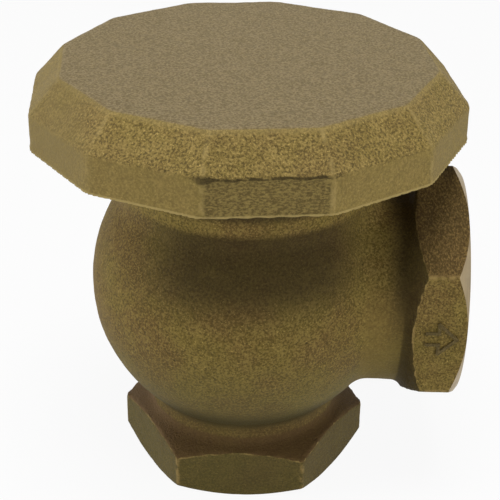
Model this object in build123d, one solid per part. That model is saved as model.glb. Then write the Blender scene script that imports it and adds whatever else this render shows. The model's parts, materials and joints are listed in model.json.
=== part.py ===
from build123d import *
import os
from math import asin, cos, hypot, radians, sin, sqrt, tan

# Atmospheric vacuum breaker for 1 inch pipe: a cast angle body, an air bonnet under a twelve-sided hood,
# and a float that drops on the inlet seat and lifts to the air seat.
# Millimetres. The origin is the centre of the inlet's end face, +Z runs up the inlet, +X out of the outlet.
# Every piece is drawn where it stands with the float resting on the inlet seat.

# Pipe ends, each a hexagon with a pipe thread's bore, on a round neck
thread_bore_radius = 14.6
thread_bore_length = 17.2
thread_lead_in = 2.3
hex_wall = 6.9
inlet_flat_length = 10.2
inlet_shoulder_angle = 27.0
inlet_chamfer_angle = 30.0
inlet_neck_wall = 4.4
inlet_neck_length = 3.6
outlet_flat_length = 10.1
outlet_shoulder_angle = 31.0
outlet_chamfer_angle = 37.0
outlet_neck_wall = 5.4
outlet_neck_length = 6.2
shoulder_fillet = 2.5

# Ball chamber and the collar that holds the bonnet
ball_over_neck = 10.2
ball_wall = 3.4
saddle_fillet = 4.5
inlet_saddle_fillet = 3.2
saddle_spacing = 2.0  # degrees of the ball left between the inlet's and the outlet's fillets
collar_over_neck = 4.5
collar_wall = 3.0
collar_height = 7.4
collar_edge_round = 0.8

# Inlet nozzle inside the chamber, with its seat ring
port_radius = 11.0
nozzle_wall = 3.9
nozzle_floor = 2.5
seat_pocket_depth = 4.0
seat_ring_wall = 3.0
seat_flange_width = 5.0
seat_flange_thickness = 1.2
seat_lip_width = 1.6
seat_lip_height = 1.0

# Float, a moulded spool with a seal disc on each end
float_travel = 8.0
float_entry_clearance = 3.3
float_plate = 3.0
float_skirt_wall = 2.0
float_skirt_lift = 5.8
float_lower_plate = 2.5
float_core_wall = 4.2
float_rib_count = 6
float_rib_thickness = 1.8
float_rib_root = 1.0
seal_disc_thickness = 3.0
inlet_disc_margin = 1.9
inlet_washer_clearance = 2.5
inlet_washer_thickness = 1.5
screw_shank_radius = 2.5
screw_grip = 4.0
screw_head_radius = 4.6
screw_head_height = 3.2
screw_head_round = 0.8
screw_socket_across_flats = 3.0
screw_socket_depth = 1.8
retainer_width = 4.0
retainer_thickness = 2.0
retainer_edge_round = 0.8
sleeve_wall = 2.7
sleeve_stand_down = 0.5

# Air bonnet, its air seat, spider and guide post
air_seat_depth = 8.65
air_seat_overlap = 2.2
air_lip_width = 1.5
air_lip_height = 1.0
air_throat_length = 2.8
air_mouth_flare = 4.0
bonnet_flange_height = 3.4
bonnet_flange_inset = 0.3
spanner_notch_count = 4
spanner_notch_width = 4.0
spanner_notch_depth = 1.8
spoke_count = 4
spoke_width = 4.0
spoke_height = 5.2
spoke_root = 0.5
hub_wall = 3.5
hub_height = 7.2
ring_groove_width = 2.1
ring_section_radius = 0.83
post_radius = 3.5
post_stud_radius = 4.0
post_collar_across_flats = 11.0
post_collar_height = 1.2
post_clear_of_float = 0.8
post_end_chamfer = 0.8
stud_length = 10.6
bush_wall = 1.2
bush_floor = 1.5

# Hood, a hollow cast cap with twelve sides, held by its central boss
hood_sides = 12
hood_turn = -8.3
hood_rim_radius = 41.0
hood_draft = 0.1
hood_top_radius = 35.0
hood_rim_height = 6.4
hood_bevel_height = 6.3
hood_wall = 3.6
hood_edge_round = 0.9
hood_corner_round = 4.0
hood_inner_corner_round = 2.0
hood_boss_wall = 4.0
hood_boss_height = 10.2
hood_boss_fillet = 2.5
washer_thickness = 1.6
washer_width = 3.6
washer_slot_width = 0.8
washer_slot_slant = 30.0

# Clearances
running_clearance = 0.08
thread_clearance = 0.05
seated_clearance = 0.02
air_seat_gap = 0.05
washer_clearance = 0.1
post_end_clearance = 0.3

# How far the turning blanks pass the hexagon's corners, the share of a neck that a fillet may take,
# and how near two places are when they count as one
turning_margin = 1.0
saddle_share = 0.95
same_place = 0.001

# Sizes that follow from the ones above
hex_apothem = thread_bore_radius + hex_wall
hex_corner = hex_apothem / cos(radians(30))
inlet_neck_radius = thread_bore_radius + inlet_neck_wall
outlet_neck_radius = thread_bore_radius + outlet_neck_wall
ball_radius = outlet_neck_radius + ball_over_neck
collar_radius = outlet_neck_radius + collar_over_neck
inlet_shoulder_length = (hex_apothem - inlet_neck_radius) * tan(radians(inlet_shoulder_angle))
inlet_end_length = inlet_flat_length + inlet_shoulder_length + inlet_neck_length
outlet_shoulder_length = (hex_apothem - outlet_neck_radius) * tan(radians(outlet_shoulder_angle))
outlet_end_length = outlet_flat_length + outlet_shoulder_length + outlet_neck_length
outlet_height = inlet_end_length + sqrt(ball_radius**2 - inlet_neck_radius**2)
outlet_root = max(sqrt(ball_radius**2 - outlet_neck_radius**2), collar_radius)
outlet_face = outlet_root + outlet_end_length
shoulder_fillet_run = shoulder_fillet * tan(radians(90 - outlet_shoulder_angle) / 2)
inlet_saddle_end = asin((inlet_neck_radius + inlet_saddle_fillet) / (ball_radius + inlet_saddle_fillet))
outlet_saddle_end = radians(90 - saddle_spacing) - inlet_saddle_end
saddle_room = min(
    saddle_share * (outlet_neck_length - shoulder_fillet_run),
    (ball_radius * sin(outlet_saddle_end) - outlet_neck_radius) / (1 - sin(outlet_saddle_end)),
)
chamber_radius = ball_radius - ball_wall
collar_root = outlet_height + max(sqrt(ball_radius**2 - collar_radius**2), outlet_neck_radius)
collar_top = collar_root + collar_height
collar_bore = collar_radius - collar_wall
thread_end = thread_lead_in + thread_bore_length

nozzle_radius = thread_bore_radius + nozzle_wall
pocket_floor = thread_end + nozzle_floor
nozzle_top = pocket_floor + seat_pocket_depth
seat_pocket_radius = port_radius + seat_ring_wall
inlet_seat = nozzle_top + seat_flange_thickness + seat_lip_height

float_radius = collar_bore - float_entry_clearance
float_bottom = inlet_seat + seal_disc_thickness
air_seat = collar_top - air_seat_depth
air_disc_top = air_seat - air_seat_gap - float_travel
float_top = air_disc_top - seal_disc_thickness
retainer_top = air_disc_top + retainer_thickness
inlet_disc_radius = port_radius + seat_lip_width + inlet_disc_margin
bush_bore = post_radius + running_clearance
bush_radius = bush_bore + bush_wall
sleeve_bore = bush_radius + seated_clearance
sleeve_radius = sleeve_bore + sleeve_wall
sleeve_top = retainer_top - sleeve_stand_down
bush_bottom = float_bottom + screw_grip + bush_floor
core_radius = bush_radius + float_core_wall

air_lip_radius = float_radius - air_seat_overlap
air_bore = air_lip_radius - air_lip_width
bonnet_thread_radius = collar_bore - running_clearance
bonnet_top = collar_top + bonnet_flange_height
ring_groove_radius = collar_bore - 2 * (ring_section_radius + seated_clearance)
hub_bottom = retainer_top + float_travel + post_clear_of_float + post_collar_height
hub_top = hub_bottom + hub_height
hub_radius = post_stud_radius + hub_wall
post_bottom = bush_bottom + float_travel + post_end_clearance
post_top = hub_top + stud_length

hood_boss_bottom = hub_top + washer_thickness
hood_roof = hood_boss_bottom + hood_boss_height
hood_top = hood_roof + hood_wall
hood_middle = hood_top - hood_bevel_height
hood_rim = hood_middle - hood_rim_height
hood_boss_radius = post_stud_radius + hood_boss_wall


def turned(outline, rounds=()):
    """The solid turned about the Z axis from (radius, height) points, with some of its corners rounded."""
    face = make_face(Polyline(*outline, close=True))
    for corner, radius in rounds:
        face = fillet(face.vertices().sort_by_distance(corner)[0], radius)
    return Rot(0, 0, 180) * revolve(Plane.XZ * face, Axis.Z)


def ring(outer, inner, low, high):
    """A plain ring, or a disc where the inner radius is 0."""
    return turned([(inner, low), (outer, low), (outer, high), (inner, high)])


def hexagon(across_flats, low, high):
    corner = across_flats / 2 / cos(radians(30))
    return Pos(0, 0, low) * extrude(RegularPolygon(corner, 6), high - low)


def around(count, shape, first_angle=0.0):
    """Copies of a shape evenly spaced about the Z axis."""
    return [Rot(0, 0, first_angle + 360 / count * k) * shape for k in range(count)]


def pipe_end(flat_length, shoulder_angle, chamfer_angle, neck_radius, reach):
    """A hexagon with its corners turned off at both ends, on a round neck. Its end face is at z = 0."""
    beyond_corner = hex_corner + turning_margin
    corner_run = beyond_corner - hex_apothem
    shoulder_rise = tan(radians(shoulder_angle))
    neck_start = (neck_radius, flat_length + (hex_apothem - neck_radius) * shoulder_rise)
    outline = [
        (0, 0),
        (hex_apothem, 0),
        (beyond_corner, corner_run * tan(radians(chamfer_angle))),
        (beyond_corner, flat_length - corner_run * shoulder_rise),
        neck_start,
        (neck_radius, reach),
        (0, reach),
    ]
    return turned(outline, [(neck_start, shoulder_fillet)]) & hexagon(2 * hex_apothem, 0, reach)


def threaded_bore(reach):
    """The room that a pipe thread takes from an end face at z = 0, open onwards to a reach."""
    return turned(
        [
            (0, 0),
            (thread_bore_radius + thread_lead_in, 0),
            (thread_bore_radius, thread_lead_in),
            (thread_bore_radius, reach),
            (0, reach),
        ]
    )


def on_outlet(shape):
    """A shape drawn with its end face at z = 0, turned to have that face at the outlet."""
    return Pos(outlet_face, 0, outlet_height) * Rot(0, -90, 0) * shape


def saddle_edges(shape):
    """The circles where something meets the ball's outside."""
    centre = Vector(0, 0, outlet_height)

    def on_ball(edge):
        distances = [abs((edge @ share - centre).length - ball_radius) for share in (0.1, 0.5, 0.9)]
        return max(distances) < same_place < (edge.arc_center - centre).length

    return shape.edges().filter_by(GeomType.CIRCLE).filter_by(on_ball)


def valve_body():
    """The casting: ball, two pipe ends and collar outside; chamber, nozzle and bores inside."""
    ball = Pos(0, 0, outlet_height) * Rot(0, 0, 180) * Sphere(ball_radius)
    ball &= ring(2 * ball_radius, 0, 0, collar_top)
    inlet_end = pipe_end(
        inlet_flat_length, inlet_shoulder_angle, inlet_chamfer_angle, inlet_neck_radius, outlet_height / 2
    )
    outlet_end = pipe_end(
        outlet_flat_length, outlet_shoulder_angle, outlet_chamfer_angle, outlet_neck_radius, outlet_face / 2
    )
    body = ball + inlet_end
    body = fillet(saddle_edges(body), inlet_saddle_fillet)
    body += ring(collar_radius, 0, outlet_height, collar_top)
    body += on_outlet(outlet_end)
    crossings = saddle_edges(body) + body.edges().filter_by(GeomType.BSPLINE)
    upper_crossings = crossings.filter_by(lambda edge: edge.center().Z > inlet_end_length + saddle_fillet)
    body = fillet(upper_crossings, min(saddle_fillet, saddle_room))
    body = fillet(body.edges().filter_by(GeomType.CIRCLE).group_by(Axis.Z)[-1], collar_edge_round)

    nozzle = ring(nozzle_radius, 0, 0, nozzle_top)
    body -= Pos(0, 0, outlet_height) * Rot(0, 0, 180) * Sphere(chamber_radius) - nozzle
    body -= ring(collar_bore, 0, outlet_height, collar_top)
    body -= threaded_bore(thread_end) + ring(port_radius, 0, thread_end, nozzle_top)
    body -= ring(seat_pocket_radius, 0, pocket_floor, nozzle_top)
    return body - on_outlet(threaded_bore(outlet_face / 2))


def inlet_seat_ring():
    """Renewable seat, pressed in the nozzle, with a narrow raised lip for the float's lower disc."""
    shank = seat_pocket_radius - seated_clearance
    flange = port_radius + seat_flange_width
    lip = port_radius + seat_lip_width
    return turned(
        [
            (port_radius, pocket_floor + seated_clearance),
            (shank, pocket_floor + seated_clearance),
            (shank, nozzle_top),
            (flange, nozzle_top),
            (flange, nozzle_top + seat_flange_thickness),
            (lip, nozzle_top + seat_flange_thickness),
            (lip, inlet_seat),
            (port_radius, inlet_seat),
        ]
    )


def air_bonnet():
    """Screwed in the collar: air seat below, open throat with spokes and a hub, flange on the collar."""
    groove_low = collar_top - ring_groove_width
    lip_foot = air_seat + air_lip_height
    flange = collar_radius - bonnet_flange_inset
    shell = turned(
        [
            (air_bore, air_seat),
            (air_lip_radius, air_seat),
            (air_lip_radius, lip_foot),
            (bonnet_thread_radius, lip_foot),
            (bonnet_thread_radius, groove_low),
            (ring_groove_radius, groove_low),
            (ring_groove_radius, collar_top),
            (flange, collar_top),
            (flange, bonnet_top),
            (air_bore + air_mouth_flare, bonnet_top),
            (air_bore, lip_foot + air_throat_length),
        ],
        [((flange, bonnet_top), collar_edge_round)],
    )
    notch = Pos(flange, 0, collar_top + bonnet_flange_height / 2) * Box(
        2 * spanner_notch_depth, spanner_notch_width, bonnet_flange_height
    )
    shell -= around(spanner_notch_count, notch, 180 / spanner_notch_count)
    spoke = Pos(bonnet_thread_radius / 2, 0, (hub_bottom + hub_top) / 2) * Box(
        bonnet_thread_radius, spoke_width, spoke_height
    )
    spoke_end = air_bore + spoke_root
    throat = turned(
        [
            (0, air_seat),
            (spoke_end, air_seat),
            (spoke_end, lip_foot + air_throat_length),
            (spoke_end + air_mouth_flare, bonnet_top),
            (0, bonnet_top),
        ]
    )
    spider = [arm & throat for arm in around(spoke_count, spoke)]
    return shell + spider + ring(hub_radius, 0, hub_bottom, hub_top) - ring(
        post_stud_radius + thread_clearance, 0, hub_bottom, hub_top
    )


def bonnet_o_ring():
    """Rubber ring in the bonnet's groove, against the collar's bore."""
    middle = ring_groove_radius + seated_clearance + ring_section_radius
    return Pos(0, 0, collar_top - ring_groove_width / 2) * Torus(middle, ring_section_radius)


def guide_post():
    """Screwed up through the hub: a smooth lower end guides the float, the stud above carries the hood."""
    lower = turned(
        [
            (0, post_bottom),
            (post_radius - post_end_chamfer, post_bottom),
            (post_radius, post_bottom + post_end_chamfer),
            (post_radius, hub_bottom),
            (post_stud_radius, hub_bottom),
            (post_stud_radius, post_top - post_end_chamfer),
            (post_stud_radius - post_end_chamfer, post_top),
            (0, post_top),
        ]
    )
    return lower + hexagon(post_collar_across_flats, hub_bottom - post_collar_height, hub_bottom)


def hood_lock_washer():
    """Split spring washer between the bonnet's hub and the hood's boss."""
    inner = post_stud_radius + washer_clearance
    washer = ring(inner + washer_width, inner, hub_top, hood_boss_bottom)
    slot = Pos(inner + washer_width / 2, 0, hub_top + washer_thickness / 2) * Rot(washer_slot_slant, 0, 0)
    return washer - slot * Box(2 * washer_width, washer_slot_width, 4 * washer_thickness)


def edges_at(shape, height):
    """The level edges of a shape at one height."""
    return shape.edges().filter_by(
        lambda edge: all(abs((edge @ share).Z - height) < same_place for share in (0, 0.5, 1))
    )


def twelve_sided(levels, corner_round):
    """A solid with flat sides and rounded corners, through a list of (corner radius, height) levels."""
    outlines = []
    for radius, height in levels:
        outline = RegularPolygon(radius, hood_sides, rotation=hood_turn)
        outlines.append(Pos(0, 0, height) * fillet(outline.vertices(), corner_round))
    return loft(outlines, ruled=True)


def air_hood():
    """The cast cap: a flat roof, a bevelled band, an upright rim, and a threaded boss under the middle."""
    corner_share = cos(radians(180 / hood_sides))
    middle_radius = hood_rim_radius - hood_draft
    outside = twelve_sided(
        [(hood_rim_radius, hood_rim), (middle_radius, hood_middle), (hood_top_radius, hood_top)],
        hood_corner_round,
    )
    outside = fillet(edges_at(outside, hood_top) + edges_at(outside, hood_middle), hood_edge_round)

    bevel_run = (middle_radius - hood_top_radius) * corner_share
    bevel_slope = bevel_run / hood_bevel_height
    wall_shift = hood_wall * hypot(1, bevel_slope)
    inner_apothem = hood_rim_radius * corner_share - hood_wall
    middle_apothem = middle_radius * corner_share
    knee = hood_middle + (middle_apothem - wall_shift - inner_apothem) / bevel_slope
    inner_radius = inner_apothem / corner_share
    roof_radius = (middle_apothem - wall_shift - (hood_roof - hood_middle) * bevel_slope) / corner_share
    hollow = twelve_sided(
        [(inner_radius, hood_rim), (inner_radius, knee), (roof_radius, hood_roof)], hood_inner_corner_round
    )
    boss = ring(hood_boss_radius, 0, hood_boss_bottom, hood_top - hood_wall / 2)
    hood = outside - hollow + boss
    roof_circles = edges_at(hood, hood_roof).filter_by(GeomType.CIRCLE)
    boss_root = roof_circles.filter_by(lambda edge: abs(edge.radius - hood_boss_radius) < same_place)
    hood = fillet(boss_root, hood_boss_fillet)
    return hood - ring(post_stud_radius + thread_clearance, 0, hood_boss_bottom, post_top + thread_clearance)


def float_body():
    """Moulded spool: lower plate, core, ribs, skirted upper plate, and the sleeve that slides on the post."""
    skirt_bottom = float_bottom + float_skirt_lift
    skirt_inner = float_radius - float_skirt_wall
    lower_top = float_bottom + float_lower_plate
    plate_bottom = float_top - float_plate
    spool = turned(
        [
            (0, float_bottom),
            (inlet_disc_radius, float_bottom),
            (inlet_disc_radius, lower_top),
            (core_radius, lower_top),
            (core_radius, plate_bottom),
            (skirt_inner, plate_bottom),
            (skirt_inner, skirt_bottom),
            (float_radius, skirt_bottom),
            (float_radius, float_top),
            (sleeve_radius, float_top),
            (sleeve_radius, sleeve_top),
            (0, sleeve_top),
        ]
    )
    web = Plane.XZ * make_face(
        Polyline(
            (core_radius - float_rib_root, lower_top - float_rib_root),
            (inlet_disc_radius, lower_top),
            (skirt_inner + float_rib_root, skirt_bottom),
            (skirt_inner + float_rib_root, plate_bottom + float_rib_root),
            (core_radius - float_rib_root, plate_bottom + float_rib_root),
            close=True,
        )
    )
    spool += around(float_rib_count, extrude(web, float_rib_thickness / 2, both=True))
    spool -= ring(sleeve_bore, 0, bush_bottom, sleeve_top)
    return spool - ring(screw_shank_radius + thread_clearance, 0, float_bottom, float_bottom + screw_grip)


def float_bush():
    """Bearing sleeve in the float, running on the guide post."""
    return ring(bush_radius, bush_bore, bush_bottom, sleeve_top)


def air_seal_disc():
    """Rubber disc on the float's upper plate, lifted against the air seat."""
    return ring(float_radius, sleeve_radius + thread_clearance, float_top, air_disc_top)


def air_seal_retainer():
    """Threaded ring on the float's sleeve that clamps the air seal disc."""
    inner = sleeve_radius + thread_clearance
    return turned(
        [
            (inner, air_disc_top),
            (inner + retainer_width, air_disc_top),
            (inner + retainer_width, retainer_top),
            (inner, retainer_top),
        ],
        [((inner + retainer_width, retainer_top), retainer_edge_round)],
    )


def inlet_seal_disc():
    """Rubber disc under the float, dropped on the inlet seat."""
    return ring(inlet_disc_radius, screw_shank_radius + thread_clearance, inlet_seat, float_bottom)


def inlet_seal_washer():
    """Washer that clamps the inlet seal disc, small enough to pass the port."""
    return ring(
        port_radius - inlet_washer_clearance,
        screw_shank_radius + thread_clearance,
        inlet_seat - inlet_washer_thickness,
        inlet_seat,
    )


def inlet_seal_screw():
    """Socket screw up through washer and disc into the float's core."""
    head_top = inlet_seat - inlet_washer_thickness
    head_bottom = head_top - screw_head_height
    screw = turned(
        [
            (0, head_bottom),
            (screw_head_radius, head_bottom),
            (screw_head_radius, head_top),
            (screw_shank_radius, head_top),
            (screw_shank_radius, float_bottom + screw_grip - thread_clearance),
            (0, float_bottom + screw_grip - thread_clearance),
        ],
        [((screw_head_radius, head_bottom), screw_head_round)],
    )
    return screw - hexagon(screw_socket_across_flats, head_bottom, head_bottom + screw_socket_depth)


pieces = [
    valve_body,
    inlet_seat_ring,
    air_bonnet,
    bonnet_o_ring,
    guide_post,
    hood_lock_washer,
    air_hood,
    float_body,
    float_bush,
    air_seal_disc,
    air_seal_retainer,
    inlet_seal_disc,
    inlet_seal_washer,
    inlet_seal_screw,
]

os.makedirs("parts", exist_ok=True)
for piece in pieces:
    export_step(piece(), f"parts/{piece.__name__}.step")
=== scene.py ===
import json
from math import acos, atan2, cos, hypot, pi, radians, sin, sqrt, tan
from types import SimpleNamespace

import bmesh
import bpy
from mathutils import Matrix, Vector, noise


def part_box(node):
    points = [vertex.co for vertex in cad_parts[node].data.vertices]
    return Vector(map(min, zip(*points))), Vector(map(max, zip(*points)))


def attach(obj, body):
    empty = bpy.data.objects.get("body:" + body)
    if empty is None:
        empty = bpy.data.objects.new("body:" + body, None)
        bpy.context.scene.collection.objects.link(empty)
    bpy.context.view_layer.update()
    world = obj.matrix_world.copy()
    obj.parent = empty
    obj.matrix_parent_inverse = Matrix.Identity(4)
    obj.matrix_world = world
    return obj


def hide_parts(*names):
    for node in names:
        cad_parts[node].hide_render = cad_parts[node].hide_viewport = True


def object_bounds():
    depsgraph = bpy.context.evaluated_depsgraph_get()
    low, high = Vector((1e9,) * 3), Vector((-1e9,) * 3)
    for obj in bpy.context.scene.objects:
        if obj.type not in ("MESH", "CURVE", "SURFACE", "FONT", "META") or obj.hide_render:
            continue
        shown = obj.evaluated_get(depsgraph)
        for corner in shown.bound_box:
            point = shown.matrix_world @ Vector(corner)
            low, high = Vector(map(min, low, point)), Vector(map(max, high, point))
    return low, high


# Atmospheric vacuum breaker: the casting and the hood get sand-cast skins in place of their CAD nodes,
# the pipe ends get real threads, and the inner pieces keep their CAD shapes with finer materials.
# Lengths are millimetres until a mesh or a node is made, and angles are degrees. A zone is a pair of
# values: its mask is 0 at the first, 1 at the second, and smooth in between.

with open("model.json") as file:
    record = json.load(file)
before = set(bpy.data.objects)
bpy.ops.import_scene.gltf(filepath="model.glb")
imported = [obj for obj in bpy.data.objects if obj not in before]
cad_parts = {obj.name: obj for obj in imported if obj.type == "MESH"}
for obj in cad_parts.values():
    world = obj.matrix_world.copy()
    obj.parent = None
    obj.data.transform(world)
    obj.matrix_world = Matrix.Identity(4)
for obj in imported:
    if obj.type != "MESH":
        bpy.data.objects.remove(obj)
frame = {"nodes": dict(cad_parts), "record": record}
cad_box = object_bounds()
mm = 0.001

mounts = {mount["name"]: mount for mount in frame["record"]["mounts"]}
body_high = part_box("valve_body")[1]
hood_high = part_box("air_hood")[1]

# The casting's own sizes
outlet_height = mounts["outlet_thread"]["pos_m"][2] / mm
outlet_face = body_high.x / mm
collar_top = body_high.z / mm
hex_apothem = 21.5
inlet_flat_length = 10.2
inlet_shoulder_angle = 27.0
inlet_chamfer_angle = 30.0
outlet_flat_length = 10.1
outlet_shoulder_angle = 31.0
outlet_chamfer_angle = 37.0
chamber_radius = 26.8
collar_bore = 21.5
nozzle_radius = 18.5
nozzle_top = 26.0
pocket_radius = 14.0
pocket_floor = 22.0
port_radius = 11.0

# The outlet's end face, with Z running into the outlet
outlet_end = Matrix.Translation((outlet_face, 0, outlet_height)) @ Matrix.Rotation(-pi / 2, 4, "Y")

# The taper pipe thread at both ends
thread_bore_radius = 14.6
thread_end = 19.5
thread_lead_in = 2.3
thread_pitch = 2.209
thread_depth = 1.55
thread_taper = 1 / 32
thread_fade = 5.0
thread_steps = 10
groove_top = 1.25
groove_slope = 1.5

# How far the mould let the outlet sag below its bore's axis, and where the sag grows along the outlet
outlet_sag = 0.35
sag_zone = (12.0, 27.0)

# What the turning tool takes off, where that stock lies, and the tool's width and depth outside the end
turning_stock = 0.6
stock_zone = (-1.6, -0.4)
tool_width = 6.0
tool_depth = 2.0

# How far a cutter passes the face that it opens, and how many sides turned shapes have
overcut = 1.0
room_sides = 120
tool_sides = 180
plug_sides = 64
chamber_steps = 24

# The flow arrow on the outlet's front flat
arrow_inset = 1.9
arrow_drop = 0.9
arrow_head_length = 3.3
arrow_shaft_length = 2.2
arrow_half_head = 3.1
arrow_half_shaft = 1.2
arrow_stroke = 0.6
arrow_height = 0.3
arrow_root = 1.5

# The hood's own sizes, and the directions out of its front facet and along it
hood_top = hood_high.z / mm
hood_rim = hood_top - 12.7
hood_middle = hood_top - 6.3
hood_turn = -8.3
hood_sides = 12
hood_apothem = 41.0 * cos(pi / hood_sides)
hood_half_side = hood_apothem * tan(pi / hood_sides)
front_facet_angle = hood_turn - 75.0
front_out = Vector((cos(radians(front_facet_angle)), sin(radians(front_facet_angle)), 0))
front_along = Vector((-front_out.y, front_out.x, 0))
rim_round = 0.9
lip_share = 0.38
lip_drop = 0.25

# How the front rim facet was dressed below the parting line
dressed_depth = 0.28
dressed_return = 0.2
dressed_ripple = 0.04
ripple_size = 0.9
ripple_seed = 5

# The skins, with relief layers of a height, a size of lumps and a seed, from broad lumps to sand grain
skin_voxel = 0.51
hood_voxel = 0.44
plug_depth = 1.2
plug_grip = 0.3
relief_layers = ((0.09, 9.0, 3), (0.05, 3.2, 7), (0.035, 1.3, 11))

# What both castings' materials share
cast_metallic = 0.25
cast_specular = 0.16


def object_of(name, mesh):
    made = bpy.data.objects.new(name, mesh)
    bpy.context.scene.collection.objects.link(made)
    return made


def mesh_of(name, points, faces):
    """A closed mesh from points in millimetres, with its faces turned outwards."""
    mesh = bpy.data.meshes.new(name)
    mesh.from_pydata([Vector(point) * mm for point in points], [], faces)
    shape = bmesh.new()
    shape.from_mesh(mesh)
    bmesh.ops.recalc_face_normals(shape, faces=shape.faces)
    shape.to_mesh(mesh)
    shape.free()
    return mesh


def spun(name, rows, count, place=Matrix()):
    """A closed mesh turned about Z from rows of radius and height, with both ends on the axis.

    A radius is a number, or a function of the angle.
    """
    points = [place @ Vector((0, 0, rows[0][1]))]
    for radius, height in rows[1:-1]:
        for step in range(count):
            angle = 2 * pi * step / count
            reach = radius(angle) if callable(radius) else radius
            points.append(place @ Vector((reach * cos(angle), reach * sin(angle), height)))
    points.append(place @ Vector((0, 0, rows[-1][1])))
    last = len(points) - 1
    ring_count = len(rows) - 2
    faces = [(0, 1 + (step + 1) % count, 1 + step) for step in range(count)]
    for ring in range(ring_count - 1):
        start = 1 + ring * count
        for step in range(count):
            following = (step + 1) % count
            faces.append((start + step, start + following, start + count + following, start + count + step))
    start = 1 + (ring_count - 1) * count
    faces += [(last, start + step, start + (step + 1) % count) for step in range(count)]
    return mesh_of(name, points, faces)


def joined(name, meshes):
    """One mesh that holds several."""
    shape = bmesh.new()
    for mesh in meshes:
        shape.from_mesh(mesh)
    result = bpy.data.meshes.new(name)
    shape.to_mesh(result)
    shape.free()
    return result


def applied(piece):
    """The piece with its modifiers made part of its mesh."""
    depsgraph = bpy.context.evaluated_depsgraph_get()
    mesh = bpy.data.meshes.new_from_object(piece.evaluated_get(depsgraph))
    piece.modifiers.clear()
    piece.data = mesh
    return piece


def remeshed(piece, voxel):
    """The piece as one even skin of small faces, filled where nothing outside reaches."""
    skin = piece.modifiers.new("skin", "REMESH")
    skin.mode = "VOXEL"
    skin.voxel_size = voxel * mm
    return applied(piece)


def combined(piece, tool_mesh, operation):
    """The piece with a closed tool mesh cut from it or added to it."""
    cutter = object_of("cutter", tool_mesh)
    knife = piece.modifiers.new("cut", "BOOLEAN")
    knife.operation = operation
    knife.solver = "MANIFOLD"
    knife.object = cutter
    knife.material_mode = "TRANSFER"
    applied(piece)
    bpy.data.objects.remove(cutter)


def finished(piece, sharp_angle=38.0):
    piece.data.shade_smooth()
    piece.data.set_sharp_from_angle(angle=radians(sharp_angle))
    return piece


def smooth_step(value, low, high):
    share = min(max((value - low) / (high - low), 0.0), 1.0)
    return share * share * (3 - 2 * share)


def grain(point, size, seed):
    """Smooth noise from -1 to 1, with lumps of about a size in millimetres."""
    return noise.noise(point / size + Vector((seed, -seed, 2 * seed)))


def moved(piece, move_of):
    """Moves each vertex by a vector in millimetres that depends on its place and normal."""
    mesh = piece.data
    moves = [move_of(vertex.co / mm, vertex.normal) * mm for vertex in mesh.vertices]
    for vertex, move in zip(mesh.vertices, moves):
        vertex.co += move
    mesh.update()


def cast_relief(point):
    """Lumps, ripples and sand grain that a sand mould leaves."""
    return sum(height * grain(point, size, seed) for height, size, seed in relief_layers)


def thread_rows():
    """Rows of a tapped bore's mouth, lead-in and thread, from the end face inwards."""
    rows = [(thread_bore_radius + thread_lead_in + overcut, -overcut)]
    step = thread_pitch / thread_steps
    for index in range(int(thread_end / step)):
        depth = index * step
        cone = thread_bore_radius + thread_lead_in - depth
        minor = thread_bore_radius + (thread_end / 2 - depth) * thread_taper
        height = thread_depth * smooth_step(thread_end - depth, 0, thread_fade)

        def radius(angle, depth=depth, cone=cone, minor=minor, height=height):
            phase = (depth / thread_pitch - angle / (2 * pi)) % 1
            groove = min(max(groove_top - abs(2 * phase - 1) * groove_slope, 0), 1)
            return max(minor + height * groove, cone)

        rows.append((radius, depth))
    rows.append((thread_bore_radius, thread_end))
    return rows


def inner_room():
    """The room inside the casting, from the inlet's mouth to the collar's top, as one turned cutter."""
    bottom = outlet_height - sqrt(chamber_radius**2 - nozzle_radius**2)
    first = acos((outlet_height - bottom) / chamber_radius)
    last = pi - acos(sqrt(chamber_radius**2 - collar_bore**2) / chamber_radius)
    arc = []
    for step in range(chamber_steps + 1):
        angle = first + (last - first) * step / chamber_steps
        arc.append((chamber_radius * sin(angle), outlet_height - chamber_radius * cos(angle)))
    rows = [(0, -overcut), *thread_rows()]
    rows += [(port_radius, thread_end), (port_radius, pocket_floor), (pocket_radius, pocket_floor)]
    rows += [(pocket_radius, nozzle_top), (nozzle_radius, nozzle_top), *arc]
    rows += [(collar_bore, collar_top + overcut), (0, collar_top + overcut)]
    return spun("inner_room", rows, room_sides)


def outlet_room():
    """The outlet's tapped bore, open into the chamber."""
    rows = [(0, -overcut), *thread_rows(), (thread_bore_radius, outlet_face / 2), (0, outlet_face / 2)]
    return spun("outlet_room", rows, room_sides, outlet_end)


def bar(start, end, width, low, high):
    """A straight stroke on the outlet's front flat, from (x, z) to (x, z), between two depths in y."""
    along = Vector((end[0] - start[0], 0, end[1] - start[1])).normalized()
    side = Vector((-along.z, 0, along.x)) * (width / 2)
    first = Vector((start[0], 0, start[1])) - along * (width / 2)
    second = Vector((end[0], 0, end[1])) + along * (width / 2)
    outline = [first - side, second - side, second + side, first + side]
    points = [corner + Vector((0, depth, 0)) for depth in (low, high) for corner in outline]
    faces = [(0, 1, 2, 3), (4, 5, 6, 7)]
    faces += [(k, (k + 1) % 4, 4 + (k + 1) % 4, 4 + k) for k in range(4)]
    return mesh_of("stroke", points, faces)


def flow_arrow():
    """The strokes of the raised outline arrow that shows the way of flow, on the outlet's front flat."""
    tip_x = outlet_face - arrow_inset
    tip_z = outlet_height - arrow_drop
    wing_x = tip_x - arrow_head_length
    tail_x = wing_x - arrow_shaft_length
    strokes = []
    for side in (1, -1):
        wing = (wing_x, tip_z + side * arrow_half_head)
        root = (wing_x, tip_z + side * arrow_half_shaft)
        tail = (tail_x, tip_z + side * arrow_half_shaft)
        strokes += [((tip_x, tip_z), wing), (wing, root), (root, tail)]
    low = -hex_apothem - arrow_height
    return [bar(start, end, arrow_stroke, low, low + arrow_root) for start, end in strokes]


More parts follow.
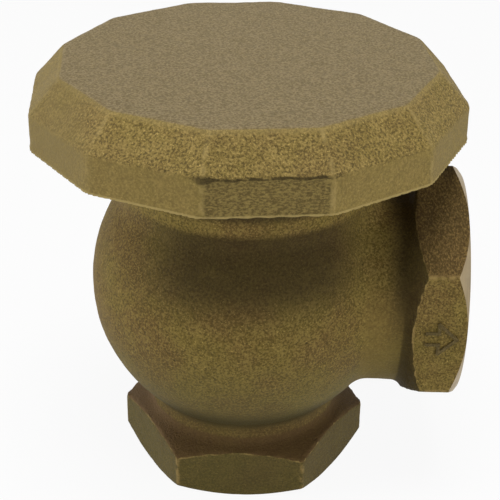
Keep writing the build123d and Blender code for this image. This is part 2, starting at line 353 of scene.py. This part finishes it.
def plug(radius, low, place=Matrix()):
    """A disc that closes a bore, so that the skin fills the inside."""
    high = low + plug_depth
    rows = [(0, low), (radius, low), (radius, high), (0, high)]
    return spun("plug", rows, plug_sides, place)


def turning_tool(chamfer_angle, place=Matrix()):
    """What turning takes off an end: all in front of its face and outside its chamfer."""
    reach = hex_apothem + tool_width
    rows = [(0, -tool_depth), (reach, -tool_depth), (reach, tool_width * tan(radians(chamfer_angle)))]
    rows += [(hex_apothem, 0), (0, 0)]
    return spun("turning_tool", rows, tool_sides, place)


def left_on(depth, radius, chamfer_angle):
    """How much stock is on an end for the turning tool, from 0 on the flats to 1 at the chamfer."""
    reach = (radius - hex_apothem) * tan(radians(chamfer_angle)) - depth
    return smooth_step(max(reach, -depth), *stock_zone)


def body_move(point, normal):
    """Cast relief, the outlet's sag, and stock on both ends for the turning tool to take off."""
    inlet = left_on(point.z, hypot(point.x, point.y), inlet_chamfer_angle)
    outlet = left_on(outlet_face - point.x, hypot(point.y, point.z - outlet_height), outlet_chamfer_angle)
    below_collar_top = smooth_step(collar_top - point.z, 0.3, 1.2)
    sag = Vector((0, 0, -outlet_sag)) * smooth_step(point.x, *sag_zone)
    relief = normal * cast_relief(point) * below_collar_top
    return relief + Vector((outlet, 0, -inlet)) * turning_stock + sag


def rim_facing(point):
    """The direction of the hood's rim facet that a point is nearest to."""
    step = 2 * pi / hood_sides
    first = radians(front_facet_angle)
    angle = first + round((atan2(point.y, point.x) - first) / step) * step
    return Vector((cos(angle), sin(angle), 0))


def crisp_lip(point):
    """Draws the rounded lower edge of the hood's rim out to a crisp one."""
    facing = rim_facing(point)
    inward = rim_round - (hood_apothem - point.dot(facing))
    upward = rim_round - (point.z - hood_rim)
    if inward <= 0 or upward <= 0:
        return Vector()
    length = hypot(inward, upward)
    stretch = min(length / max(inward, upward) - 1, lip_share) * rim_round
    return (facing * inward - Vector((0, 0, upward))) / length * stretch


def hood_move(point, normal):
    """Cast relief, a front rim facet dressed below the parting line, and a crisp lower edge."""
    from_side = hood_half_side - abs(point.dot(front_along))
    on_front = smooth_step(from_side, 0.1, 0.9)
    on_front *= smooth_step(point.dot(front_out), hood_apothem - 2.5, hood_apothem - 1.5)
    drop = hood_middle - point.z
    cut = dressed_return * smooth_step(drop, 1.0, 5.0) - dressed_depth
    cut += dressed_ripple * grain(point, ripple_size, ripple_seed)
    cut *= on_front * smooth_step(drop, -0.25, 0.15)
    above_lip = smooth_step(point.z - hood_rim, 0.3, 2.0)
    on_rim = smooth_step(hypot(point.x, point.y), 30.0, 34.0)
    on_rim *= smooth_step(hood_rim + 4.0 - point.z, 0, 3.0)
    lower = Vector((0, 0, -lip_drop)) * on_rim
    return normal * (cast_relief(point) * above_lip + cut) + crisp_lip(point) + lower


def node_group(material):
    material.use_nodes = True
    tree = material.node_tree
    tree.nodes.clear()
    return tree


class Graph:
    """Short names for building a material's nodes."""

    def __init__(self, name):
        self.material = bpy.data.materials.new(name)
        self.tree = node_group(self.material)
        self.place = self.node("ShaderNodeTexCoord").outputs["Object"]

    def node(self, kind, **settings):
        made = self.tree.nodes.new(kind)
        for key, value in settings.items():
            setattr(made, key, value)
        return made

    def feed(self, socket, value):
        if isinstance(value, bpy.types.NodeSocket):
            self.tree.links.new(value, socket)
        else:
            socket.default_value = value

    def math(self, operation, first, second=0.0):
        made = self.node("ShaderNodeMath", operation=operation)
        self.feed(made.inputs[0], first)
        self.feed(made.inputs[1], second)
        return made.outputs[0]

    def times(self, *factors):
        """The product of several values."""
        product = factors[0]
        for factor in factors[1:]:
            product = self.math("MULTIPLY", product, factor)
        return product

    def opposite(self, mask):
        return self.math("SUBTRACT", 1.0, mask)

    def within(self, value, low, high):
        """The mask of a zone in millimetres."""
        return self.between(value, low * mm, high * mm)

    def tint(self, color, tone, share, *masks):
        """The colour with a share of a tone laid over it where the masks are 1."""
        return self.mix(self.times(*masks, share), color, tone)

    def between(self, value, low, high):
        """The mask of a zone."""
        made = self.node("ShaderNodeMapRange", interpolation_type="SMOOTHSTEP")
        self.feed(made.inputs["Value"], value)
        made.inputs["From Min"].default_value = low
        made.inputs["From Max"].default_value = high
        return made.outputs["Result"]

    def noise(self, size, detail=2.0, roughness=0.5, stretch=(1, 1, 1)):
        """Noise with lumps of about a size in millimetres."""
        mapping = self.node("ShaderNodeMapping")
        self.feed(mapping.inputs["Vector"], self.place)
        mapping.inputs["Scale"].default_value = stretch
        made = self.node("ShaderNodeTexNoise")
        self.feed(made.inputs["Vector"], mapping.outputs[0])
        made.inputs["Scale"].default_value = 1 / (size * mm)
        made.inputs["Detail"].default_value = detail
        made.inputs["Roughness"].default_value = roughness
        return made.outputs["Fac"]

    def specks(self, size, share):
        """Round specks in a share of cells of a size in millimetres: 1 in a speck, 0 elsewhere."""
        made = self.node("ShaderNodeTexVoronoi")
        self.feed(made.inputs["Vector"], self.place)
        made.inputs["Scale"].default_value = 1 / (size * mm)
        chosen = self.node("ShaderNodeSeparateColor")
        self.feed(chosen.inputs[0], made.outputs["Color"])
        picked = self.math("LESS_THAN", chosen.outputs[0], share)
        reach = self.math("ADD", self.times(chosen.outputs[1], 0.12), 0.08)
        spot = self.math("SUBTRACT", reach, made.outputs["Distance"])
        return self.times(picked, self.between(spot, 0.0, 0.08))

    def mix(self, share, first, second):
        made = self.node("ShaderNodeMix", data_type="RGBA")
        self.feed(made.inputs["Factor"], share)
        self.feed(made.inputs[6], first if isinstance(first, bpy.types.NodeSocket) else (*first, 1))
        self.feed(made.inputs[7], second if isinstance(second, bpy.types.NodeSocket) else (*second, 1))
        return made.outputs[2]

    def axes(self, socket):
        """The X, Y and Z of a vector."""
        made = self.node("ShaderNodeSeparateXYZ")
        self.feed(made.inputs[0], socket)
        return made.outputs

    def bump(self, height, distance, strength):
        made = self.node("ShaderNodeBump")
        made.inputs["Strength"].default_value = strength
        made.inputs["Distance"].default_value = distance * mm
        self.feed(made.inputs["Height"], height)
        return made.outputs[0]

    def surface(self, color, metallic, roughness, normal, specular=0.5):
        shader = self.node("ShaderNodeBsdfPrincipled")
        self.feed(shader.inputs["Base Color"], color)
        self.feed(shader.inputs["Metallic"], metallic)
        self.feed(shader.inputs["Roughness"], roughness)
        shader.inputs["Specular IOR Level"].default_value = specular
        self.feed(shader.inputs["Normal"], normal)
        output = self.node("ShaderNodeOutputMaterial")
        self.tree.links.new(shader.outputs[0], output.inputs[0])
        return self.material


def sand_cast(graph, first, second, dark, light, grain_share):
    """Two bronze tones in patches, with sand grain, bright flecks, pits and fine scratches."""
    patches = graph.noise(14, detail=3.0, roughness=0.6)
    mottle = graph.noise(3.0, detail=4.0, roughness=0.65)
    fine = graph.noise(0.42, detail=2.0, roughness=0.7)
    sparks = graph.noise(0.34, detail=1.0)
    lines = graph.noise(1.6, detail=1.0, stretch=(0.18, 1.2, 1.4))
    pits = graph.specks(1.7, 0.035)
    bright = tuple(1.6 * channel for channel in light)
    deep = tuple(0.5 * channel for channel in dark)
    color = graph.mix(graph.between(patches, 0.38, 0.62), first, second)
    color = graph.tint(color, light, 0.3, graph.between(mottle, 0.42, 0.68))
    color = graph.tint(color, light, grain_share, graph.between(fine, 0.5, 0.64))
    color = graph.tint(color, dark, grain_share, graph.between(fine, 0.5, 0.36))
    color = graph.tint(color, bright, 0.6, graph.between(sparks, 0.66, 0.74))
    color = graph.tint(color, light, 0.25, graph.between(lines, 0.72, 0.76))
    color = graph.tint(color, deep, 0.7, pits)
    height = graph.math("ADD", fine, graph.times(mottle, 0.5))
    height = graph.math("SUBTRACT", height, graph.times(pits, 0.5))
    return SimpleNamespace(color=color, height=height, fine=fine, patches=patches)


def distance_from_axis(graph, first, second):
    squares = graph.math("ADD", graph.math("POWER", first, 2), graph.math("POWER", second, 2))
    return graph.math("SQRT", squares)


def before_shoulder(graph, depth, radius, flat_length, shoulder_angle):
    """How far a point on a hexagon's flats lies before their curved inner edge."""
    rise = graph.math("SUBTRACT", radius, hex_apothem * mm)
    shorter = graph.times(rise, tan(radians(shoulder_angle)))
    length = graph.math("SUBTRACT", flat_length * mm, shorter)
    return graph.math("SUBTRACT", length, depth)


def band(graph, value, low, high, blur):
    """1 between low and high, 0 outside, in millimetres."""
    return graph.times(graph.within(value, low - blur, low), graph.within(value, high + blur, high))


def hexagon_corner(graph, facing, sideways):
    """1 near a hexagon's six corner lines, 0 on its flats.

    Facing is the distance along one flat's own direction, sideways the distance at right angles to it.
    """
    straight = graph.math("ABSOLUTE", facing)
    halves = [graph.times(facing, 0.5), graph.times(sideways, sin(radians(60)))]
    rising = graph.math("ABSOLUTE", graph.math("ADD", *halves))
    falling = graph.math("ABSOLUTE", graph.math("SUBTRACT", *halves))
    least = graph.math("MINIMUM", straight, graph.math("MINIMUM", rising, falling))
    return graph.within(least, 0.7, 0.2)


def pipe_end(graph, depth, radius, tilt, lean_zone, flat_length, shoulder_angle):
    """Masks of a hexagonal pipe end: all of it, its shoulder, its flats and their curved inner edges.

    Tilt is the normal's part along the pipe, and the lean zone tells the flats from the shoulder.
    """
    whole = graph.within(depth, 16.5, 14.0)
    ahead = before_shoulder(graph, depth, radius, flat_length, shoulder_angle)
    shoulder = graph.times(whole, graph.between(tilt, *lean_zone))
    flats = graph.times(graph.within(ahead, -0.6, -0.3), graph.between(tilt, *reversed(lean_zone)))
    arcs = graph.times(band(graph, ahead, -0.2, 0.3, 0.2), flats)
    return SimpleNamespace(whole=whole, shoulder=shoulder, flats=flats, arcs=arcs)


def shade_under_ball(graph, color, z, upward):
    """Painted shade in green: darker on what faces down, and dark towards the crease above the inlet's neck.
    """
    green, ball_crease_shade = (0.095, 0.082, 0.027), (0.042, 0.034, 0.011)
    # painted shade: faces turned down are drawn darker and greener
    color = graph.tint(color, green, 0.5, graph.between(upward, 0.1, -0.6))
    # painted shade: darkest in the crease where the ball overhangs the inlet's neck
    near_crease = graph.within(z, 24.0, 17.5)
    return graph.tint(color, ball_crease_shade, 0.75, near_crease, graph.between(upward, 0.0, -0.5))


def inlet_tones(graph, color, x, inlet):
    """Dull flats, a brown neck, and a red-brown shoulder with painted light that makes its left side paler.
    """
    flat_olive, neck_brown = (0.071, 0.058, 0.017), (0.082, 0.053, 0.019)
    shoulder_red, shoulder_left_light = (0.095, 0.051, 0.019), (0.185, 0.115, 0.055)
    color = graph.tint(color, flat_olive, 0.65, inlet.flats)
    color = graph.tint(color, neck_brown, 0.5, inlet.whole, graph.opposite(inlet.flats))
    color = graph.tint(color, shoulder_red, 0.65, inlet.shoulder)
    # painted light: the shoulder's left side is drawn paler
    return graph.tint(color, shoulder_left_light, 0.55, inlet.shoulder, graph.within(x, -11.0, -19.0))


def outlet_tones(graph, color, x, z, upward, depth, radius, outlet):
    """A darker, coarse mottle on the upper flats, painted light on the neck's front, and painted shade in the
    groove behind the hexagon and on its inner shoulder, weaker lower down.
    """
    upper_flat_dark, upper_flat_light = (0.07, 0.04, 0.013), (0.27, 0.175, 0.055)
    neck_painted_light, groove_shade = (0.27, 0.193, 0.05), (0.042, 0.028, 0.009)
    coarse = graph.noise(0.42, detail=3.0, roughness=0.7, stretch=(1.3, 0.8, 0.8))
    # a darker, coarse mottle on the upward faces of the outlet's flats
    upper_flat_mottle = graph.mix(graph.between(coarse, 0.4, 0.72), upper_flat_dark, upper_flat_light)
    color = graph.tint(color, upper_flat_mottle, 0.85, outlet.flats, graph.between(upward, 0.3, 0.6))
    # painted light: a paler gold on the outlet neck
    on_neck = graph.times(graph.within(x, 15.0, 23.0), graph.within(z, 50.0, 40.0))
    color = graph.tint(color, neck_painted_light, 0.4, on_neck, graph.within(radius, 21.0, 20.0))
    # painted shade in the groove behind the hexagon and on its inner shoulder, strongest up under the hood
    beside_hexagon = graph.within(radius, hex_apothem + 0.3, hex_apothem - 0.9)
    weaker_below = graph.math("ADD", 0.12, graph.times(graph.within(z, 31.0, 46.0), 0.88))
    painted_shade = graph.times(graph.within(depth, 16.0, 11.8), beside_hexagon, weaker_below)
    return graph.tint(color, groove_shade, 0.72, graph.math("MAXIMUM", painted_shade, outlet.shoulder))


def worn_edges(graph, color, inlet_corners, outlet_corners, inlet, outlet):
    """Golden wear along the hexagons' corners and the curved inner edges of their flats."""
    outlet_corners = graph.times(outlet_corners, outlet.flats)
    inlet_corners = graph.times(inlet_corners, inlet.flats)
    corners = graph.math("MAXIMUM", outlet_corners, inlet_corners)
    edges = graph.math("MAXIMUM", corners, graph.math("MAXIMUM", outlet.arcs, inlet.arcs))
    breaks = graph.between(graph.noise(1.4, detail=3.0), 0.38, 0.6)
    return graph.tint(color, (0.32, 0.22, 0.075), 0.75, edges, breaks)


def painted_hood_shadow(graph, color, x, z, patches):
    """Painted shadow of the hood: a dark band in patches over the ball's front where it meets the collar, and
    painted shade at the collar's top.
    """
    hood_shadow, painted_shade = (0.032, 0.02, 0.005), (0.034, 0.023, 0.007)
    height = graph.times(graph.within(z, 42.0, 51.0), graph.within(z, 60.0, 58.4))
    width = graph.times(graph.within(x, -24.0, -8.0), graph.within(x, 26.0, 14.0))
    # painted shadow of the hood on the ball, in patches
    color = graph.tint(color, hood_shadow, 0.78, height, width, graph.between(patches, 0.0, 0.4))
    # painted shade on the collar's top, under the hood
    return graph.tint(color, painted_shade, 0.75, graph.within(z, collar_top - 4.8, collar_top - 3.0))


def body_bronze():
    """Olive and brown cast bronze, with a red-brown inlet shoulder, a darker mottle on the outlet's upper
    flats and worn edges, with painted shade under the ball, behind the outlet's hexagon and under the hood,
    and painted light on the inlet shoulder's left side and the outlet's neck.
    """
    graph = Graph("cast_body_bronze")
    olive, brown = (0.175, 0.127, 0.027), (0.15, 0.094, 0.025)
    dark, light = (0.06, 0.04, 0.010), (0.31, 0.222, 0.064)
    cast = sand_cast(graph, olive, brown, dark, light, grain_share=0.65)
    x, y, z = graph.axes(graph.place)
    normal = graph.axes(graph.node("ShaderNodeNewGeometry").outputs["Normal"])
    above = graph.math("SUBTRACT", z, (outlet_height - outlet_sag) * mm)
    depth = graph.math("SUBTRACT", outlet_face * mm, x)
    outlet_radius = distance_from_axis(graph, y, above)
    inlet_radius = distance_from_axis(graph, x, y)
    inlet_lean, outlet_lean = (0.2, 0.45), (-0.15, -0.4)
    inlet = pipe_end(graph, z, inlet_radius, normal["Z"], inlet_lean, inlet_flat_length, inlet_shoulder_angle)
    outlet = pipe_end(graph, depth, outlet_radius, normal["X"], outlet_lean, outlet_flat_length,
                      outlet_shoulder_angle)

    color = shade_under_ball(graph, cast.color, z, normal["Z"])
    color = inlet_tones(graph, color, x, inlet)
    color = outlet_tones(graph, color, x, z, normal["Z"], depth, outlet_radius, outlet)
    inlet_corners, outlet_corners = hexagon_corner(graph, y, x), hexagon_corner(graph, y, above)
    color = worn_edges(graph, color, inlet_corners, outlet_corners, inlet, outlet)
    color = painted_hood_shadow(graph, color, x, z, cast.patches)
    rough = graph.math("ADD", 0.55, graph.times(cast.fine, 0.3))
    return graph.surface(color, cast_metallic, rough, graph.bump(cast.height, 0.33, 0.9), cast_specular)


def turned_bronze():
    """Pale bronze that the turning tool left bare on the ends, with its fine rings."""
    graph = Graph("turned_bronze")
    ring_dark, ring_light, stain = (0.30, 0.22, 0.105), (0.38, 0.285, 0.145), (0.20, 0.15, 0.075)
    rings = graph.noise(0.5, detail=2.0, stretch=(1, 0.05, 0.05))
    stains = graph.noise(4.0, detail=3.0)
    color = graph.mix(graph.between(rings, 0.3, 0.7), ring_dark, ring_light)
    color = graph.tint(color, stain, 0.4, graph.between(stains, 0.45, 0.7))
    rough = graph.math("ADD", 0.38, graph.times(stains, 0.2))
    return graph.surface(color, 0.3, rough, graph.bump(rings, 0.03, 0.6), specular=0.4)


def arrow_painted_shade():
    """Darker bronze on the arrow's strokes: painted shade that gives them a recessed look."""
    graph = Graph("arrow_painted_shade")
    olive, brown = (0.105, 0.077, 0.023), (0.09, 0.06, 0.019)
    dark, light = (0.04, 0.028, 0.01), (0.16, 0.115, 0.04)
    # painted shade: the strokes get a darker copy of the cast bronze
    cast = sand_cast(graph, olive, brown, dark, light, grain_share=0.5)
    return graph.surface(cast.color, cast_metallic, 0.7, graph.bump(cast.height, 0.2, 0.8), specular=0.25)


def front_facet(graph, x, y, z):
    """Masks of the front rim facet: its dressed face, and the crease of the parting line above it."""
    line_wander, line_drop, line_half_width = 1.1, 0.15, 0.28
    blob_inset, blob_zone, blob_extra = 0.3, (2.0, 0.4), 0.45
    out, along = [graph.math("ADD", graph.times(x, direction.x), graph.times(y, direction.y))
                  for direction in (front_out, front_along)]
    outside = graph.within(out, hood_apothem - 3, hood_apothem - 2)
    aside = graph.math("ABSOLUTE", along)
    on_front = graph.times(outside, graph.within(aside, hood_half_side + 0.2, hood_half_side - 0.8))
    near_front = graph.times(outside, graph.within(aside, hood_half_side + 2.4, hood_half_side))
    swing = graph.math("SUBTRACT", graph.noise(2.2, detail=3.0), 0.5)
    below = graph.math("SUBTRACT", hood_middle * mm, z)
    below = graph.math("ADD", below, graph.times(swing, line_wander * mm))
    off_line = graph.math("ABSOLUTE", graph.math("SUBTRACT", below, line_drop * mm))
    left_end = graph.math("SUBTRACT", (blob_inset - hood_half_side) * mm, along)
    blob = graph.within(graph.math("ABSOLUTE", left_end), *blob_zone)
    half_width = graph.math("ADD", line_half_width * mm, graph.times(blob, blob_extra * mm))
    in_line = graph.between(graph.math("DIVIDE", off_line, half_width), 1.2, 0.4)
    breaks = graph.between(graph.noise(1.4, detail=2.0), 0.3, 0.5)
    crease = graph.times(in_line, breaks, near_front)
    dressed = graph.times(graph.within(below, 0.0, 0.3), on_front)
    return dressed, crease


def top_tones(graph, color, z, top):
    """A greyer, sifted flat top with a painted highlight along the edge round it."""
    sifted_dark, sifted_light, top_edge_highlight = (0.155, 0.115, 0.055), (0.30, 0.235, 0.125), (0.36, 0.27, 0.10)
    sifted = graph.noise(0.4, detail=2.0, roughness=0.65)
    top_color = graph.mix(graph.between(sifted, 0.36, 0.64), sifted_dark, sifted_light)
    color = graph.tint(color, top_color, 0.9, top)
    below_top = graph.math("SUBTRACT", hood_top * mm, z)
    # painted highlight along the hood's top edge
    return graph.tint(color, top_edge_highlight, 0.35, graph.within(below_top, 1.0, 0.4), graph.opposite(top))


def rim_tones(graph, color, z, dressed, crease):
    """Streaks on the dressed facet, painted shade in the crease over it, and a painted highlight along the
    lower lip.
    """
    streak_dark, streak_light = (0.085, 0.06, 0.018), (0.27, 0.20, 0.065)
    parting_crease_shade, lip_highlight = (0.035, 0.024, 0.008), (0.44, 0.34, 0.13)
    streaks = graph.noise(0.42, detail=2.0, roughness=0.65, stretch=(0.65, 0.65, 1.4))
    dressed_color = graph.mix(graph.between(streaks, 0.36, 0.66), streak_dark, streak_light)
    color = graph.tint(color, dressed_color, 0.75, dressed)
    # painted shade in the parting line's crease
    color = graph.tint(color, parting_crease_shade, 0.75, crease)
    # painted highlight along the rim's lower lip
    lip_height = hood_rim - lip_drop
    return graph.tint(color, lip_highlight, 0.6, graph.within(z, lip_height + 0.4, lip_height + 0.15))


def corner_highlights(graph, color, x, y, upward, crease):
    """Painted highlights along the upright corners of the hood's sides."""
    turn = graph.math("SUBTRACT", graph.math("ARCTAN2", y, x), radians(front_facet_angle))
    sides_passed = graph.math("FRACT", graph.math("DIVIDE", turn, 2 * pi / hood_sides))
    from_corner = graph.math("ABSOLUTE", graph.math("SUBTRACT", sides_passed, 0.5))
    corner = graph.times(graph.between(from_corner, 0.035, 0.01), graph.between(upward, 0.9, 0.8))
    breaks = graph.between(graph.noise(2.0, detail=3.0), 0.36, 0.6)
    # painted highlight on the upright corners
    return graph.tint(color, (0.38, 0.285, 0.105), 0.5, corner, breaks, graph.opposite(crease))


def hood_bronze():
    """Olive-gold cast bronze, greyer on top, with golden painted highlights on its edges, and a parting line
    on the front rim with painted shade in its crease.
    """
    graph = Graph("cast_hood_bronze")
    olive, brown = (0.205, 0.147, 0.038), (0.195, 0.132, 0.04)
    dark, light = (0.08, 0.055, 0.016), (0.37, 0.27, 0.09)
    rim_olive, left_olive = (0.235, 0.172, 0.05), (0.19, 0.142, 0.052)
    cast = sand_cast(graph, olive, brown, dark, light, grain_share=0.8)
    x, y, z = graph.axes(graph.place)
    upward = graph.axes(graph.node("ShaderNodeNewGeometry").outputs["Normal"])["Z"]
    top = graph.between(upward, 0.86, 0.97)
    smoother = graph.times(graph.within(z, hood_middle + 0.4, hood_middle - 0.4), 0.55)
    far_left = graph.times(graph.within(x, -22.0, -31.0), 0.5)
    dressed, crease = front_facet(graph, x, y, z)

    color = graph.mix(smoother, cast.color, rim_olive)
    color = top_tones(graph, color, z, top)
    color = rim_tones(graph, color, z, dressed, crease)
    color = corner_highlights(graph, color, x, y, upward, crease)
    color = graph.mix(graph.times(far_left, graph.opposite(top)), color, left_olive)

    calm = graph.math("MAXIMUM", graph.times(top, 0.5), graph.times(smoother, 0.8))
    calm = graph.times(graph.math("MAXIMUM", calm, far_left), graph.opposite(dressed))
    relief = graph.math("SUBTRACT", graph.times(cast.height, graph.opposite(calm)), crease)
    rough = graph.math("ADD", 0.52, graph.times(cast.fine, 0.3))
    return graph.surface(color, cast_metallic, rough, graph.bump(relief, 0.42, 0.9), cast_specular)


def machined_bronze():
    """Clean yellow bronze of the bores, threads, seats and the bonnet."""
    graph = Graph("machined_bronze")
    light, dark, cut_light = (0.46, 0.335, 0.16), (0.38, 0.265, 0.12), (0.56, 0.42, 0.22)
    patches = graph.noise(6, detail=3.0)
    lines = graph.noise(0.4, detail=2.0, stretch=(0.08, 0.08, 1.0))
    color = graph.mix(graph.between(patches, 0.35, 0.7), light, dark)
    color = graph.tint(color, cut_light, 0.4, graph.between(lines, 0.45, 0.7))
    rough = graph.math("ADD", 0.32, graph.times(patches, 0.18))
    return graph.surface(color, 0.9, rough, graph.bump(lines, 0.03, 0.6))


def steel():
    """Turned stainless steel of the post, washers and screw."""
    graph = Graph("stainless_steel")
    lines = graph.noise(0.35, detail=2.0, stretch=(0.1, 0.1, 1.0))
    color = graph.mix(graph.between(lines, 0.3, 0.7), (0.52, 0.52, 0.51), (0.66, 0.66, 0.65))
    rough = graph.math("ADD", 0.22, graph.times(lines, 0.15))
    return graph.surface(color, 1.0, rough, graph.bump(lines, 0.02, 0.6))


def silicone():
    """Red silicone of the seal discs."""
    graph = Graph("silicone_rubber")
    dust = graph.noise(1.5, detail=4.0)
    color = graph.mix(graph.between(dust, 0.4, 0.75), (0.34, 0.075, 0.04), (0.42, 0.13, 0.085))
    rough = graph.math("ADD", 0.42, graph.times(dust, 0.2))
    return graph.surface(color, 0.0, rough, graph.bump(dust, 0.02, 0.5))


def black_rubber():
    """Rubber of the bonnet's ring."""
    graph = Graph("black_rubber")
    dust = graph.noise(0.8, detail=4.0)
    color = graph.mix(graph.between(dust, 0.4, 0.75), (0.018, 0.018, 0.019), (0.045, 0.044, 0.042))
    rough = graph.math("ADD", 0.45, graph.times(dust, 0.2))
    return graph.surface(color, 0.0, rough, graph.bump(dust, 0.02, 0.5))


def plastic(name, dark, light):
    """Pale plastic with faint flow marks."""
    graph = Graph(name)
    flow = graph.noise(5, detail=2.0)
    skin = graph.noise(0.3, detail=2.0)
    color = graph.mix(graph.between(flow, 0.35, 0.7), dark, light)
    rough = graph.math("ADD", 0.38, graph.times(skin, 0.15))
    return graph.surface(color, 0.0, rough, graph.bump(skin, 0.015, 0.4))


materials = {
    "cast_bronze_body": body_bronze(),
    "cast_bronze_hood": hood_bronze(),
    "arrow_painted_shade": arrow_painted_shade(),
    "turned_bronze": turned_bronze(),
    "machined_bronze": machined_bronze(),
    "stainless_steel": steel(),
    "silicone_rubber": silicone(),
    "black_rubber": black_rubber(),
    "moulded_plastic": plastic("moulded_plastic", (0.60, 0.58, 0.52), (0.70, 0.68, 0.62)),
    "bearing_plastic": plastic("bearing_plastic", (0.78, 0.77, 0.74), (0.84, 0.83, 0.80)),
}

for node in frame["record"]["subparts"]:
    mesh = frame["nodes"][node["node"]].data
    mesh.materials.clear()
    mesh.materials.append(materials[node["material_slot"]])

# The casting
mouth_radius = thread_bore_radius + thread_lead_in + plug_grip
solid = joined(
    "cast_body",
    [
        frame["nodes"]["valve_body"].data,
        plug(mouth_radius, 0),
        plug(mouth_radius, 0, outlet_end),
        plug(collar_bore + plug_grip, collar_top - plug_depth),
    ],
)
cast_body = remeshed(object_of("cast_body", solid), skin_voxel)
moved(cast_body, body_move)
cast_body.data.materials.clear()
cast_body.data.materials.append(materials["cast_bronze_body"])
sagging = Matrix.Translation((0, 0, -outlet_sag))
for tool in (turning_tool(inlet_chamfer_angle), turning_tool(outlet_chamfer_angle, sagging @ outlet_end)):
    tool.materials.append(materials["turned_bronze"])
    combined(cast_body, tool, "DIFFERENCE")
for room in (inner_room(), outlet_room()):
    room.materials.append(materials["machined_bronze"])
    combined(cast_body, room, "DIFFERENCE")
for stroke in flow_arrow():
    stroke.materials.append(materials["arrow_painted_shade"])
    combined(cast_body, stroke, "UNION")
finished(cast_body)
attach(cast_body, "body")
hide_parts("valve_body")

# The hood
cast_hood = object_of("cast_hood", frame["nodes"]["air_hood"].data.copy())
remeshed(cast_hood, hood_voxel)
moved(cast_hood, hood_move)
cast_hood.data.materials.clear()
cast_hood.data.materials.append(materials["cast_bronze_hood"])
finished(cast_hood)
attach(cast_hood, "body")
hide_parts("air_hood")


def white_for_camera(tree, shader, share):
    """Mixes plain white into what the camera and reflections see, and leaves the light as it is."""
    path = tree.nodes.new("ShaderNodeLightPath")
    seen = path.outputs["Is Camera Ray"]
    for ray in ("Is Glossy Ray", "Is Transmission Ray"):
        either = tree.nodes.new("ShaderNodeMath")
        either.operation = "MAXIMUM"
        tree.links.new(seen, either.inputs[0])
        tree.links.new(path.outputs[ray], either.inputs[1])
        seen = either.outputs[0]
    factor = tree.nodes.new("ShaderNodeMath")
    factor.operation = "MULTIPLY"
    tree.links.new(seen, factor.inputs[0])
    factor.inputs[1].default_value = share
    white = tree.nodes.new("ShaderNodeEmission")
    white.inputs["Strength"].default_value = 1.0
    mix = tree.nodes.new("ShaderNodeMixShader")
    tree.links.new(factor.outputs[0], mix.inputs[0])
    tree.links.new(shader, mix.inputs[1])
    tree.links.new(white.outputs[0], mix.inputs[2])
    return mix.outputs[0]


def floor(reach, grey, white_share):
    """A plain pale floor, which keeps the shadow."""
    corners = [(-reach, -reach, 0), (reach, -reach, 0), (reach, reach, 0), (-reach, reach, 0)]
    mesh = bpy.data.meshes.new("floor")
    mesh.from_pydata(corners, [], [(0, 1, 2, 3)])
    material = bpy.data.materials.new("pale_floor")
    tree = node_group(material)
    diffuse = tree.nodes.new("ShaderNodeBsdfDiffuse")
    diffuse.inputs["Color"].default_value = (grey, grey, grey, 1)
    output = tree.nodes.new("ShaderNodeOutputMaterial")
    tree.links.new(white_for_camera(tree, diffuse.outputs[0], white_share), output.inputs[0])
    mesh.materials.append(material)
    object_of("floor", mesh)


def world_light(strength):
    world = bpy.data.worlds.new("studio")
    bpy.context.scene.world = world
    world.use_nodes = True
    tree = world.node_tree
    tree.nodes.clear()
    soft = tree.nodes.new("ShaderNodeBackground")
    soft.inputs["Color"].default_value = (1, 1, 1, 1)
    soft.inputs["Strength"].default_value = strength
    output = tree.nodes.new("ShaderNodeOutputWorld")
    tree.links.new(white_for_camera(tree, soft.outputs[0], 1.0), output.inputs[0])


def lamp(name, place, target, size, power):
    """A round soft lamp, in metres and watts, turned towards a target."""
    light = bpy.data.lights.new(name, "AREA")
    light.shape = "DISK"
    light.size = size
    light.energy = power
    made = bpy.data.objects.new(name, light)
    bpy.context.scene.collection.objects.link(made)
    made.location = place
    made.rotation_mode = "QUATERNION"
    made.rotation_quaternion = (Vector(target) - Vector(place)).to_track_quat("-Z", "Y")


def photo_camera():
    """The photograph's view, with turns in radians and the focal length in pixels of its frame."""
    place = Vector((6.28, -219.6, 161.3)) * mm
    yaw, pitch, roll = -0.0244, -0.4912, 0.0137
    focal_pixels = 1259.0
    frame_pixels = 500.0
    forward = Vector((sin(yaw) * cos(pitch), cos(yaw) * cos(pitch), sin(pitch)))
    level_right = Vector((cos(yaw), -sin(yaw), 0))
    level_up = level_right.cross(forward)
    right = cos(roll) * level_right + sin(roll) * level_up
    up = -sin(roll) * level_right + cos(roll) * level_up
    data = bpy.data.cameras.new("photo")
    data.sensor_width = 36.0
    data.sensor_fit = "HORIZONTAL"
    data.lens = data.sensor_width * focal_pixels / frame_pixels
    data.clip_start = 0.01
    camera = bpy.data.objects.new("photo", data)
    bpy.context.scene.collection.objects.link(camera)
    turn = Matrix((right, up, -forward)).transposed().to_4x4()
    camera.matrix_world = Matrix.Translation(place) @ turn
    bpy.context.scene.camera = camera


floor(reach=3.0, grey=0.85, white_share=0.93)
world_light(0.08)
middle = (cad_box[0] + cad_box[1]) / 2
lamp("top", (0.0, -0.10, 0.85), middle, size=0.45, power=4.6)
lamp("left", (-0.64, -0.16, 0.12), middle, size=0.35, power=2.45)
lamp("right", (0.53, -0.42, 0.06), middle, size=0.35, power=2.55)
photo_camera()

bpy.context.scene.view_settings.view_transform = "Standard"
